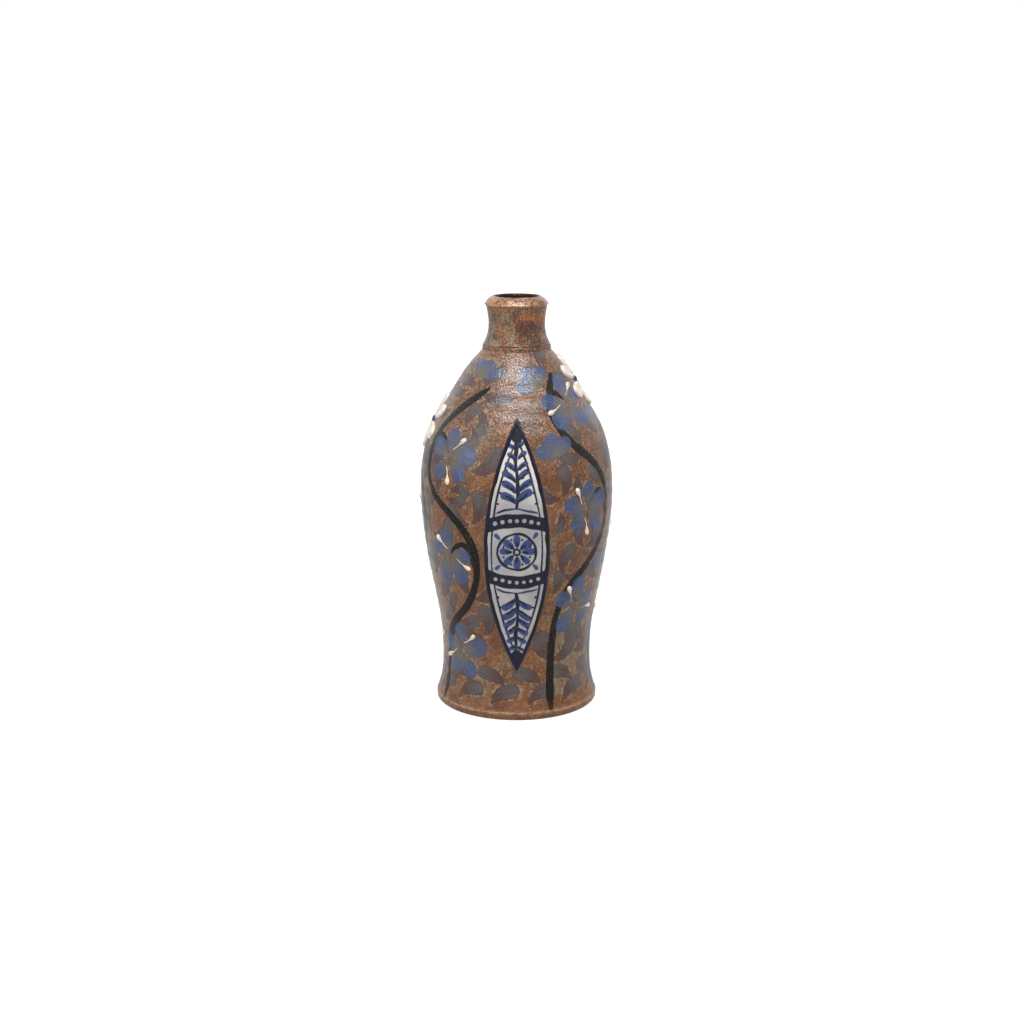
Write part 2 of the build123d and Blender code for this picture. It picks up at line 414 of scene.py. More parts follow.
for half_turn in (0, 180):
    for routes, half in ((long_stems, stem_half), (twigs, twig_half)):
        for route in routes:
            stem([(turn + half_turn, height) for turn, height in route], half)
    for n, (turn, height, aim) in enumerate(leaf_pairs):
        grown = 1 - 0.1 * (n % 3)
        leaf(turn + half_turn, height, aim + 34, length=15.5 * grown, half=4.0 * grown, curl=-75)
        leaf(turn + half_turn, height, aim - 42, length=13.5 * grown, half=3.7 * grown, curl=70)
    for n, (turn, height, _) in enumerate(rosettes):
        for k in range(5):
            aim = k * 72 + 9 * sin(n * 5 + k * 2.1)
            grown = 1 + 0.12 * sin(n * 3 + k * 1.7)
            curl = 50 * sin(n * 1.3 + k)
            petal(turn + half_turn, height, aim, 8.0 * grown, 4.25 * grown, curl, start=2.0)
    for n, (turn, height, aim) in enumerate(buds):
        for fan in (-48, 2, 50):
            grown = 1 + 0.12 * sin(n * 3 + fan)
            petal(turn + half_turn, height, aim + fan, 6.8 * grown, 3.4 * grown, fan * 0.6, start=1.2)
garland_count = 13
for n in range(garland_count):
    turn = n * 360 / garland_count + 9
    dab(leaves, turn, height=7.8, aim=58, length=12.5, half=3.6, curl=60)
    dab(leaves, turn + 9, height=17.0, aim=-62, length=12.0, half=3.5, curl=-55)
collar_count = 8
for n in range(collar_count):
    aim, curl = (160, 55) if n % 2 else (205, -55)
    leaf(n * 360 / collar_count + 22, 171.0, aim, length=7.5, half=2.7, curl=curl)


def bare_clay(turn, run):
    """How far the nearest stroke is from this place, as far as the brush's reach."""
    row = min(int(np.searchsorted(wall_run, run)), len(wall) - 1)
    column = round(turn / column_angle) % columns
    return min(laid[0][row, column] for laid in (stems, leaves, flowers))


# Loose leaves fill what is left of the clay, clear of the two panels.
tries = 6000
lowest, highest = 14, 166
loose_length, loose_half, loose_curl, smallest = 11.5, 3.1, 60, 0.72
feelers = np.array([0.5, 6.5, 12.5])[:, None]
panel_clearance, below_panel, above_panel = 22, 12, 158
foot_clearance, collar_clearance = 8, 5
clear_all_along, clear_in_the_middle = 1.5, 2.2
loose = np.random.default_rng(8)
for _ in range(tries):
    turn, height = loose.uniform(0, 360), loose.uniform(lowest, highest)
    aim, curl = loose.uniform(0, 360), loose.choice((-loose_curl, loose_curl))
    grown = loose.uniform(smallest, 1.0)
    spots = feelers * grown * np.array([[sin(radians(aim)), cos(radians(aim))]])
    runs = run_at(height) + spots[:, 1]
    asides = radians(turn) + spots[:, 0] / radius_at(runs)
    from_panel = np.abs((np.degrees(asides) + 90) % 180 - 90).min()
    if from_panel < panel_clearance and below_panel < height < above_panel:
        continue
    if runs.min() > foot_clearance and runs.max() < wall_run[-1] - collar_clearance:
        clear = [bare_clay(aside, run) for aside, run in zip(asides, runs)]
        if min(clear) > clear_all_along and clear[1] > clear_in_the_middle:
            leaf(turn, height, aim, loose_length * grown, loose_half * grown, curl)


def eased(x):
    x = np.clip(x, 0, 1)
    return x * x * (3 - 2 * x)


def drift(places, size, seed, octaves=2):
    """Slow wandering noise between about -1 and 1 at places in millimetres, with hollows of this size."""
    rng = np.random.default_rng(seed)
    total = np.zeros(places.shape[:-1])
    for octave in range(octaves):
        for _ in range(7):
            way = rng.normal(size=3)
            way *= 2 * pi / (size * 0.5**octave) * rng.uniform(0.6, 1.3) / np.linalg.norm(way)
            total += np.sin(places @ way + rng.uniform(0, 2 * pi)) * 0.5**octave
    return total / 3.5


# Ash: where the flame carried it, as turn in degrees, height, breadth and length in millimetres,
# and how much.
body_ash = [
    (-34, 168, 11, 8, 0.8), (8, 66, 10, 26, 0.75), (14, 152, 9, 6, 0.5), (-24, 140, 9, 12, 0.8),
    (34, 40, 9, 18, 0.7), (52, 24, 12, 12, 0.7), (-22, 18, 14, 8, 0.6), (70, 120, 12, 22, 0.6),
    (-72, 90, 10, 40, 0.6), (-50, 60, 12, 16, 0.5), (150, 150, 26, 18, 0.8), (205, 100, 20, 34, 0.8),
    (120, 60, 18, 24, 0.6), (250, 40, 20, 22, 0.7), (290, 130, 18, 26, 0.7), (-36, 30, 10, 14, 0.6),
    (30, 14, 16, 7, 0.6), (-4, 30, 6, 8, 0.5), (20, 88, 7, 16, 0.5), (-14, 96, 5, 14, 0.5),
]


def ash_on(line, patches):
    """How thick the ash lies all round a turned line, from the patches alone."""
    radius, height = line[:, :1], line[:, 1:]
    total = np.zeros((len(line), columns))
    for at, z, breadth, length, amount in patches:
        away = (turns - radians(at) + pi) % (2 * pi) - pi
        total += amount * np.exp(-((away * radius / breadth) ** 2) - ((height - z) / length) ** 2)
    return np.clip(total, 0, 1)


def piece(name, points, faces):
    """A smooth mesh piece from points in millimetres, riding on the one fired body."""
    mesh = bpy.data.meshes.new(name)
    mesh.from_pydata((points * MM).tolist(), [], faces)
    mesh.shade_smooth()
    made = bpy.data.objects.new(name, mesh)
    bpy.context.scene.collection.objects.link(made)
    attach(made, "root")
    return made


def woven(rows, count, round_again):
    """Four-sided faces between rows of this many points, each row running round to its own start."""
    i = np.arange(rows if round_again else rows - 1)[:, None]
    j = np.arange(count)
    up, side = (i + 1) % rows, (j + 1) % count
    corners = (i * count + j, i * count + side, up * count + side, up * count + j)
    return np.stack(corners, axis=-1).reshape(-1, 4).tolist()


def turned_skin(name, line, lifts, ends_on_axis):
    """A closed skin of revolution: the line swung round the axis, each point lifted off it as given."""
    normal = line_normals(line)
    points = swung(turns, line[:, :1] + lifts * normal[:, :1], line[:, 1:] + lifts * normal[:, 1:])
    points = points.reshape(-1, 3)
    faces = woven(len(line), columns, not ends_on_axis)
    if ends_on_axis:
        low, high = len(points), len(points) + 1
        points = np.concatenate([points, [[0, 0, line[0, 1]], [0, 0, line[-1, 1]]]])
        last = (len(line) - 1) * columns
        hem = [(j, (j + 1) % columns) for j in range(columns)]
        faces += [(side, j, low) for j, side in hem]
        faces += [(last + j, last + side, high) for j, side in hem]
    return piece(name, points, faces)


def remember(made, name, values):
    """Keeps one number for each point of a piece, for its finish to read."""
    numbers = np.zeros(len(made.data.vertices), np.float32)
    values = np.asarray(values, np.float32).ravel()
    numbers[: len(values)] = values
    made.data.attributes.new(name, "FLOAT", "POINT").data.foreach_set("value", numbers)


ring = foot_radius - foot_bevel - foot_ring_width
foot_corners = [
    (axis_gap, foot_recess_depth),
    (ring - foot_recess_bevel, foot_recess_depth),
    (ring, 0),
    (foot_radius - foot_bevel, 0),
    (foot_radius, foot_bevel),
    (foot_radius, foot_edge_height),
    wall[0],
]
foot_line = eased_line(foot_corners, ease=0.35, step=1.1)
collar_corners = [
    wall[-1],
    (collar[0], seam_height - collar_bevel),
    (collar[0] - collar_bevel, seam_height),
    (clay_bore_radius, seam_height),
]
collar_line = eased_line(collar_corners, ease=0.3, step=0.6)
inner = wall - inside_depth * wall_normal
inner = inner[(wall[:, 1] > waist[1]) & (inner[:, 0] > clay_bore_radius + 2)][::-1]
floor_corners = [inner[-1], (inner[-1, 0], floor_height), (axis_gap, floor_height)]
floor_line = eased_line(floor_corners, ease=inside_corner, step=3.0)
body_line = np.concatenate([foot_line[:-1], wall, collar_line[1:], inner[::inside_rows], floor_line[1:]])
first_row = len(foot_line) - 1
wall_rows = slice(first_row, first_row + len(wall))

coats = {"stem": (stems, stem_depth), "leaf": (leaves, leaf_depth), "flower": (flowers, flower_depth)}
wall_places = swung(turns, wall[:, :1], wall[:, 1:])
fade = eased(wall_run / throwing_fade) * eased((wall_run[-1] - wall_run) / throwing_fade)
spiral = np.sin(2 * pi * wall_run[:, None] / throwing_pitch + turns)
spiral *= 1 + 0.6 * drift(wall_places, size=45, seed=3)
wander = wander_depth * drift(wall_places, size=60, seed=4)
throwing = fade[:, None] * (throwing_depth * spiral + wander)
peel_relief = peel_depth * drift(wall_places, peel_size, seed=5, octaves=1)
slip_relief = sum(depth * eased(0.5 - laid[0] / slip_edge) for laid, depth in coats.values())
lifts = np.zeros((len(body_line), columns))
lifts[wall_rows] = throwing + peel_relief + slip_relief
thrown_body = turned_skin("thrown_body", body_line, lifts, ends_on_axis=True)
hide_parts("body")

for name, (laid, _) in coats.items():
    gap, run, side = np.full(lifts.shape, brush_reach), np.zeros(lifts.shape), np.zeros(lifts.shape)
    gap[wall_rows], run[wall_rows], side[wall_rows] = laid
    remember(thrown_body, name + "_gap", gap)
    remember(thrown_body, name + "_run", run)
    remember(thrown_body, name + "_side", side)
ash = np.zeros(lifts.shape)
ash[wall_rows] = ash_on(wall, body_ash)
remember(thrown_body, "ash", ash)
# Painted highlight: a paler line along the top edge of the foot band.
from_band = np.hypot(body_line[:, 0] - foot_radius, body_line[:, 1] - foot_edge_height)
remember(thrown_body, "edge", np.repeat(np.exp(-from_band / band_edge_reach), columns))
# Salt: none below the belly, rising up the shoulder. It makes the glaze there glossier and bumpier, and its
# painted glints and painted shade stronger.
remember(thrown_body, "salt", np.repeat(eased((body_line[:, 1] - salt_foot) / salt_climb), columns))


def paint(r, g, b):
    """A colour as it reads off a printed picture, in 0 to 255, as the light it stands for."""
    part = [c / 255 for c in (r, g, b)]
    return (*[c / 12.92 if c <= 0.04045 else ((c + 0.055) / 1.055) ** 2.4 for c in part], 1)


class Finish:
    """A material under way: short words for the few nodes that every finish here is mixed from."""

    def __init__(self, name):
        self.material = bpy.data.materials.new(name)
        self.material.use_nodes = True
        self.tree = self.material.node_tree
        where = self.node("TexCoord", {}).outputs["Object"]
        self.place = self.node("VectorMath", {0: where, "Scale": 1 / MM}, operation="SCALE").outputs[0]

    def node(self, kind, inputs, **settings):
        return new_node(self.tree, kind, inputs, **settings)

    def number(self, name):
        return self.node("Attribute", {}, attribute_name=name).outputs["Fac"]

    def noise(self, size, detail=2.0, rough=0.5, place=None):
        """Cloudy noise whose lumps are about this many millimetres across."""
        inputs = {"Vector": place or self.place, "Scale": 1 / size, "Detail": detail, "Roughness": rough}
        return self.node("TexNoise", inputs).outputs["Fac"]

    def work(self, how, a, b):
        return self.node("Math", {0: a, 1: b}, operation=how).outputs[0]

    def sum(self, a, b):
        return self.work("ADD", a, b)

    def times(self, a, b):
        return self.work("MULTIPLY", a, b)

    def swing(self, noise, reach):
        """A noise as a wavering to either side of nothing, this far from its lowest to its highest."""
        return self.times(self.sum(noise, -0.5), reach)

    def ramp(self, value, low, high, to_low=0.0, to_high=1.0):
        """The value from low to high, eased into the range asked for."""
        return ramped(self.tree, value, low, high, to_low, to_high)

    def mix(self, share, a, b):
        return self.node("Mix", {"Factor": share, 6: a, 7: b}, data_type="RGBA").outputs[2]

    def dots(self, apart, outside, inside, cluster, scarce):
        """Round dots this many millimetres apart, kept only where a slow noise rises high enough."""
        cell = self.node("TexVoronoi", {"Vector": self.place, "Scale": 1 / apart})
        kept = self.ramp(self.noise(cluster, 0.0), scarce, scarce + 0.04)
        return self.times(self.ramp(cell.outputs["Distance"], outside, inside), kept)

    def beside(self, x, y):
        """A place made of two numbers, for noise that runs along a stroke."""
        return self.node("CombineXYZ", {0: x, 1: y}).outputs[0]

    def drawn_out(self, length):
        """The place squeezed in height, so that noise there runs this many times longer down the wall."""
        squeeze = {0: self.place, 1: (1, 1, 1 / length)}
        return self.node("VectorMath", squeeze, operation="MULTIPLY").outputs[0]

    def over(self, share, tint):
        """Lays a tint over the colour so far, by this share."""
        self.colour = self.mix(share, self.colour, tint)

    def fired(self, rough, gloss, relief, depth):
        """Settles how rough the finish is, how strongly it mirrors, and relief this many millimetres deep."""
        bumps = self.node("Bump", {"Strength": 1.0, "Distance": depth * MM, "Height": relief})
        skin = self.tree.nodes["Principled BSDF"]
        feed(skin, {"Base Color": self.colour, "Roughness": rough})
        feed(skin, {"Specular IOR Level": gloss, "Normal": bumps.outputs["Normal"]})

    def fired_slip(self, curd, smooth, dull, gloss, lumps, depth, detail=2.0):
        """The same for a slip or glaze that is now smooth, now dull, with soft lumps of this size."""
        self.fired(self.ramp(curd, 0.3, 0.7, smooth, dull), gloss, self.noise(lumps, detail), depth)

    def wear(self, made):
        made.data.materials.clear()
        made.data.materials.append(self.material)


liner_brown = paint(26, 17, 13)


def fired_clay(name, dark_clay, light_clay, pale_ash, ash_cover, painted):
    """Salt-fired clay: an orange-peel glaze with painted shade in its hollows and painted glints on its
    crests, a lip painted lighter where light falls on it, ash, and the slips over it.
    """
    smoke, lip_light_tint, scorch = paint(126, 73, 38), paint(178, 131, 93), paint(74, 40, 24)
    peel_hollow_shade, peel_glint, dark_ash, iron = paint(64, 40, 28), paint(180, 140, 106), paint(92, 82, 64), paint(34, 22, 16)
    f = Finish(name)
    peel = f.noise(0.95, 2.0, 0.6)
    grain = f.noise(0.4, 1.0)
    blotch = f.noise(8.0, 4.0, 0.6)
    cloud = f.noise(26.0, 3.0)
    patch = f.noise(3.2, 3.0, 0.65)
    salt = f.number("salt")
    f.colour = f.mix(f.ramp(blotch, 0.38, 0.64), dark_clay, light_clay)
    f.over(f.ramp(cloud, 0.42, 0.68, 0.0, 0.45), smoke)
    if not painted:
        # Painted light: the lip's upturned bevel is painted paler, most at its front, where the lamp above
        # falls on it.
        f.over(f.times(f.number("lip_light"), f.ramp(blotch, 0.3, 0.62, 0.3, 0.9)), lip_light_tint)
        f.over(f.ramp(patch, 0.50, 0.64, 0.0, 0.75), scorch)
    # Painted shade: the hollows of the peel relief are darkened, more so up the shoulder.
    f.over(f.times(f.ramp(peel, 0.54, 0.38), f.ramp(salt, 0, 1, 0.35, 0.85)), peel_hollow_shade)
    # Painted highlight: the crests of the peel relief are paled into glints, more so up the shoulder where
    # the front lamp's glare falls.
    f.over(f.times(f.ramp(peel, 0.55, 0.70), f.ramp(salt, 0, 1, 0.3, 0.5)), peel_glint)
    ashen = f.sum(f.number("ash"), f.swing(patch, 1.9))
    ashen = f.sum(ashen, f.swing(f.noise(1.7, 2.0, 0.5, f.drawn_out(4.0)), 1.5))
    ashen = f.sum(ashen, f.swing(peel, 1.2))
    ash_share = f.ramp(ashen, 0.36, 0.96, 0.0, ash_cover)
    f.over(ash_share, f.mix(f.ramp(grain, 0.35, 0.7), dark_ash, pale_ash))
    f.over(f.times(f.dots(1.9, 0.22, 0.12, cluster=2.4, scarce=0.60), 0.8), iron)
    height = f.times(f.sum(peel, f.times(grain, 0.35)), f.ramp(salt, 0, 1, 0.65, 1.3))
    rough = f.sum(f.ramp(ash_share, 0.0, 1.0, 0.2, 0.34), f.times(salt, -0.085))
    gloss = f.ramp(salt, 0, 1, 0.3, 0.56)
    if not painted:
        dipped = f.number("liner")
        f.over(dipped, liner_brown)
        gloss = f.times(gloss, f.ramp(dipped, 0, 1, 1.0, 0.25))
    if painted:
        band_edge_highlight, fume = paint(176, 146, 114), paint(158, 136, 114)
        # Painted highlight along the top edge of the foot band, broken up by noise.
        f.over(f.times(f.number("edge"), f.ramp(patch, 0.34, 0.6, 0.1, 0.8)), band_edge_highlight)
        ragged = f.swing(f.noise(0.8, 2.0), 0.5)
        fumed = f.ramp(f.work("MINIMUM", f.number("flower_gap"), f.number("leaf_gap")), 2.2, 0.2)
        f.over(f.times(fumed, f.ramp(f.sum(patch, f.times(peel, 0.5)), 0.74, 0.92, 0.0, 0.6)), fume)

        def coat(kind, thin_tint, full_tint, streak_tint, rim_tint, streaks, thin_to, full_from):
            """One brushed slip: thin where the stroke began, streaked along its way, pooled at its rim."""
            run = f.number(kind + "_run")
            lane = f.beside(f.times(f.number(kind + "_side"), 0.85), f.times(run, 1.6))
            hairs = f.noise(1.0, 2.0, 0.55, lane)
            edge = f.sum(f.number(kind + "_gap"), ragged)
            along = f.ramp(f.sum(run, f.swing(hairs, 1.6)), thin_to, full_from)
            tint = f.mix(along, thin_tint, full_tint)
            tint = f.mix(f.ramp(hairs, 0.53, 0.66, 0.0, streaks), tint, streak_tint)
            tint = f.mix(f.ramp(patch, 0.58, 0.72, 0.0, 0.45), tint, thin_tint)
            tint = f.mix(f.ramp(edge, -0.75, -0.15, 0.0, 0.4), tint, rim_tint)
            worn = f.ramp(f.sum(peel, f.times(hairs, 0.25)), 0.66, 0.94, 0.0, 0.3)
            share = f.times(f.ramp(edge, 0.12, -0.14), f.ramp(run, 0.0, 0.5, 0.78, 0.97))
            share = f.times(share, f.work("SUBTRACT", 1.0, worn))
            f.over(share, tint)
            return share

        mauve, grey, wine = paint(72, 48, 46), paint(82, 77, 76), paint(44, 27, 28)
        soot, black = paint(27, 30, 28), paint(14, 17, 16)
        olive, dusk, sky, rim = paint(92, 86, 76), paint(58, 72, 106), paint(90, 104, 138), paint(50, 62, 96)
        leaf_share = coat("leaf", mauve, grey, wine, wine, streaks=0.4, thin_to=0.3, full_from=1.0)
        stem_share = coat("stem", black, black, soot, black, streaks=0.8, thin_to=0.0, full_from=0.8)
        flower_share = coat("flower", olive, dusk, sky, rim, streaks=0.4, thin_to=0.28, full_from=1.0)
        slips = f.work("MAXIMUM", f.work("MAXIMUM", leaf_share, stem_share), flower_share)
        rough = f.sum(rough, f.times(slips, -0.03))
        gloss = f.times(gloss, f.ramp(stem_share, 0.0, 1.0, 1.0, 0.45))
    f.fired(rough, gloss, height, depth=0.18)
    return f


painted_clay = fired_clay(
    "salt_fired_painted_clay",
    dark_clay=paint(94, 60, 37),
    light_clay=paint(125, 83, 53),
    pale_ash=paint(140, 128, 102),
    ash_cover=0.78,
    painted=True,
)
painted_clay.wear(thrown_body)

# The neck: a second thrown piece of the same clay, luted on at the ledge above the shoulder.
# Its lip was bevelled with a rib and the soft edge pressed down. The flame came from the left,
# so the ash lies thickest there.
neck_foot_radius = 16.25
neck_waist = (13.6, 188.96)
neck_shares = [(0.62, 0.30)]
lip_edge = (15.4, 196.3)
lip_undercut = 0.75
crest_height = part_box("neck_and_lip")[1][2] / MM
crest_radius = 11.4
bevel_bulge = (13.72, 198.52)
glaze_line_height = 197.7
mouth_radius = 10.0
neck_throwing_pitch = 4.6
neck_throwing_depth = 0.035
neck_fade = 3
neck_wander_depth = 0.09
neck_salt = 0.7
lip_light_start, lip_light_climb = 1.0, 1.2
dip_edge = 0.5
neck_ash = [
    (-46, 185, 5, 10, 0.6), (-24, 191, 4, 5, 0.6), (-78, 187, 5, 10, 0.75), (12, 194, 6, 2, 0.5),
    (22, 180, 5, 2, 0.45), (-9, 183, 1.8, 8, 0.8), (66, 186, 4, 10, 0.6), (-48, 178, 7, 2, 0.7),
    (150, 186, 9, 9, 0.8), (215, 192, 8, 6, 0.7),
]

neck_foot = (neck_foot_radius, seam_height)
neck_top = (lip_edge[0] - lip_undercut, lip_edge[1] - lip_undercut)
neck_stations = [neck_foot, *between(neck_foot, neck_waist, neck_shares), neck_waist, neck_top]
neck_side = smooth_line(neck_stations, row_step)
bevel = smooth_line([lip_edge, bevel_bulge, (crest_radius, crest_height)], 0.35)
mouth_turn = np.linspace(0, pi / 2, 9)
mouth_r = crest_radius - (crest_radius - mouth_radius) * np.sin(mouth_turn)
mouth_z = glaze_line_height + (crest_height - glaze_line_height) * np.cos(mouth_turn)
mouth_round = np.stack([mouth_r, mouth_z], axis=1)
lip_line = eased_line([neck_side[-2], neck_side[-1], lip_edge, bevel[1]], ease=0.22, step=0.3)
bore_top, bore_foot = (clay_bore_radius, glaze_line_height), (clay_bore_radius, seam_height)
bore_line = eased_line([(mouth_radius, glaze_line_height), bore_top, bore_foot], ease=0.1, step=3.0)
sole_line = eased_line([bore_foot, neck_foot], ease=0.1, step=2.0)
neck_line = np.concatenate(
    [neck_side[:-2], lip_line, bevel[2:], mouth_round[1:], bore_line[1:], sole_line[1:-1]]
)
neck_places = swung(turns, neck_line[:, :1], neck_line[:, 1:])
# The wheel's marks run up the outside only, and end just short of the crest of the lip.
marked_rows = len(neck_side) + len(lip_line) + len(bevel) - 6
marks = neck_throwing_depth * np.sin(2 * pi * neck_line[:, 1:] / neck_throwing_pitch + turns)
marks += neck_wander_depth * drift(neck_places, size=24, seed=8)
neck_lifts = eased((neck_line[:, 1:] - seam_height) / neck_fade) * marks
neck_lifts += peel_depth * drift(neck_places, peel_size, seed=9, octaves=1)
neck_lifts[marked_rows:] = 0
neck = turned_skin("neck_and_lip_skin", neck_line, neck_lifts, ends_on_axis=False)
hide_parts("neck_and_lip")
remember(neck, "ash", ash_on(neck_line, neck_ash))
# Painted light on the lip: paler up onto its upturned bevel, and more so on the front-left side that faces
# the lamp.
lip_light = eased((neck_line[:, 1:] - lip_edge[1] + lip_light_start) / lip_light_climb)
lip_light *= neck_line[:, :1] > mouth_radius + 0.3
remember(neck, "lip_light", lip_light * (0.72 + 0.28 * np.cos(turns + 0.25)))
remember(neck, "salt", np.full(neck_lifts.shape, neck_salt))
run_over = 0.35 + 0.25 * drift(neck_places, size=9, seed=12)
remember(neck, "liner", eased(0.5 + (crest_radius - run_over - neck_line[:, :1]) / dip_edge))
bare_clay_finish = fired_clay(
    "salt_fired_bare_clay",
    dark_clay=paint(62, 32, 16),
    light_clay=paint(154, 92, 46),
    pale_ash=paint(146, 136, 102),
    ash_cover=0.88,
    painted=False,
)
bare_clay_finish.wear(neck)

# The liner: a dark iron glaze, poured in through the mouth, swirled and tipped out.
# It coats all of the inside and stops just under the lip.
liner = Finish("dark_liner_glaze")
streak = liner.noise(5.0, 3.0)
liner.colour = liner.mix(liner.ramp(streak, 0.4, 0.65), liner_brown, paint(46, 30, 22))
liner.fired_slip(streak, smooth=0.42, dull=0.55, gloss=0.15, lumps=1.6, depth=0.03, detail=1.0)
liner.wear(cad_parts["liner_glaze"])

# The white panels: a pointed oval of thick white slip on the front and on the back, laid inside
# its dark line and painted with cobalt. The slip stands a little proud and rounds off at its edge.
panel_length = 124.0
panel_half_width = 15.5
panel_foot = 23.6
outline_width = 2.2
outline_tip_width = 4.4
panel_thickness = 0.45
outline_thickness = 0.75
sunk = 0.2
tucked = 0.7
rounded_edge = 0.55
field_wander = 0.05
tip_share = 0.995
field_rows, field_columns = 360, 121
middle_height = panel_foot + panel_length / 2
field_half_length = panel_length / 2 - outline_tip_width
field_half_width = panel_half_width - outline_width


def oval_half(height, half_length, half_width):
    """Half the width of the pointed oval, this far above its middle."""
    bow = (half_length**2 + half_width**2) / (2 * half_width)
    return np.sqrt(np.maximum(bow**2 - height**2, 0)) - (bow - half_width)


def coat_loops(turn, run, lift):
    """Loops of points round a coat of slip: over its lifted top, and back under it inside the clay."""
    top = on_wall(turn, run, lift)
    under = on_wall(turn[:, 1:-1], run[:, 1:-1], -sunk)[:, ::-1]
    return np.concatenate([top, under], axis=1)


def seen_from_front(x, z):
    """Turns and runs of places on the wall's front, x measured straight across and z up."""
    run = run_at(z)
    return np.arcsin(np.clip(x / radius_at(run), -1, 1)), run


def sleeve(loops, closed=False):
    """A closed skin over a row of closed loops of points, capped at both ends unless it runs round."""
    rows, count = loops.shape[:2]
    faces = woven(rows, count, closed)
    if not closed:
        faces += [list(range(count))[::-1], [(rows - 1) * count + k for k in range(count)]]
    return loops.reshape(-1, 3), faces


def half_round(loops):
    """The same loops, turned half way round the bottle's axis."""
    return loops * (-1, -1, 1)


def flat(x, y):
    return np.stack([x, y, np.zeros_like(x)], axis=-1)


heights = np.linspace(-field_half_length * tip_share, field_half_length * tip_share, field_rows)
across = np.linspace(-1, 1, field_columns)
half_widths = oval_half(heights, field_half_length + tucked, field_half_width + tucked)
x = half_widths[:, None] * across[None, :]
z = np.broadcast_to((middle_height + heights)[:, None], x.shape)
inset = (1 - np.abs(across))[None, :] * half_widths[:, None]
crown = np.sqrt(1 - (1 - np.clip(inset / rounded_edge, 0, 1)) ** 2)
uneven = field_wander * drift(flat(x, z), size=14, seed=11)
top_lift = -sunk + (panel_thickness + sunk + uneven) * crown
field_loops = coat_loops(*seen_from_front(x, z), top_lift)

# The cobalt on a panel, as round touches in millimetres from its middle: x, y, half width, how dark.
# One is the full strength of the pigment. The bare dots were left out of the dark bands.
fine_tip, arch_tip, stalk_tip = 0.42, 0.45, 0.8
border_rise, border_tip_gap, border_side_gap = 52, 4.2, 1.7
petals_painted, petal_ring, vein_start, vein_end = 8, 2.5, 2.4, 5.4
ring_touches, rosette_ring, eye_ring, bead_ring = 96, 8.9, 1.4, 6.6
band_rises = (13.0, 14.6, 16.2, 17.6)
band_reach, band_sag = 13.8, 2.8
dot_rise, dot_step, dot_sag, dot_half, dot_reach = 15.3, 3.3, 2.2, 1.0, 12.2
arch = [(-9.8, 18.6), (0, 20.9), (9.8, 18.6)]
stalk = [(0, 21), (0.3, 31), (-0.3, 41), (0, 51)]
sprig_reaches = (7.3, 7.2, 6.2, 5.2, 4.0, 2.8)
sprig_foot, sprig_step, sprig_half, sprig_taper = 23.6, 4.9, 1.75, 0.15
sprig_aside, sprig_aim, sprig_curl, vein_share = 0.6, 50, 36, 0.8
margin_dots = (8.7, 7.6, 6.2, 4.6)
margin_foot, margin_step = 23.2, 5.2
corner_leaf, corner_aim = (7.6, 6.6), 40
tip_start, tip_spill = 53.4, 0.7
bead_half, bead_dark = 0.55, 0.9
cobalt, bare_dots = [], []
hand = np.random.default_rng(21)


def spun(reach, turn):
    """The place this far from the panel's middle, at a turn from straight up."""
    return reach * sin(turn), reach * cos(turn)


def cobalt_line(places, half, dark=1.0):
    """A line drawn with the brush's tip, its width and its way wavering a little."""
    path = smooth_line(places, 0.35)
    t = np.linspace(0, 1, len(path))
    phase = hand.uniform(0, 2 * pi, 3)
    sway = 0.22 * np.sin(7 * t + phase[0]) + 0.10 * np.sin(17 * t + phase[1])
    side = line_normals(path)
    ends = np.minimum(1, 0.45 + np.minimum(t, 1 - t) * len(t) / 5)
    for k in range(len(path)):
        x, y = path[k] + side[k] * sway[k]
        width = half * (1 + 0.2 * sin(11 * t[k] + phase[2])) * ends[k]
        cobalt.append((x, y, width, dark * (1 - 0.25 * t[k])))


def cobalt_leaf(px, py, aim, length, half, curl=0.0, dark=0.5):
    """A touch of the whole brush: a dark start that swells and pales towards its round end."""
    aim += hand.normal(0, 3.5)
    length *= 1 + hand.normal(0, 0.06)
    half *= 1 + hand.normal(0, 0.08)
    px, py = px + hand.normal(0, 0.18), py + hand.normal(0, 0.18)
    for t in np.linspace(0, 1, 18):
        heading = radians(aim + curl * (t - 0.5))
        width = half * (0.3 + 0.7 * sin(pi / 2 * min(1, t * 1.25)))
        cobalt.append((px, py, width, dark * (1 - 0.9 * t)))
        px, py = px + sin(heading) * length / 18, py + cos(heading) * length / 18


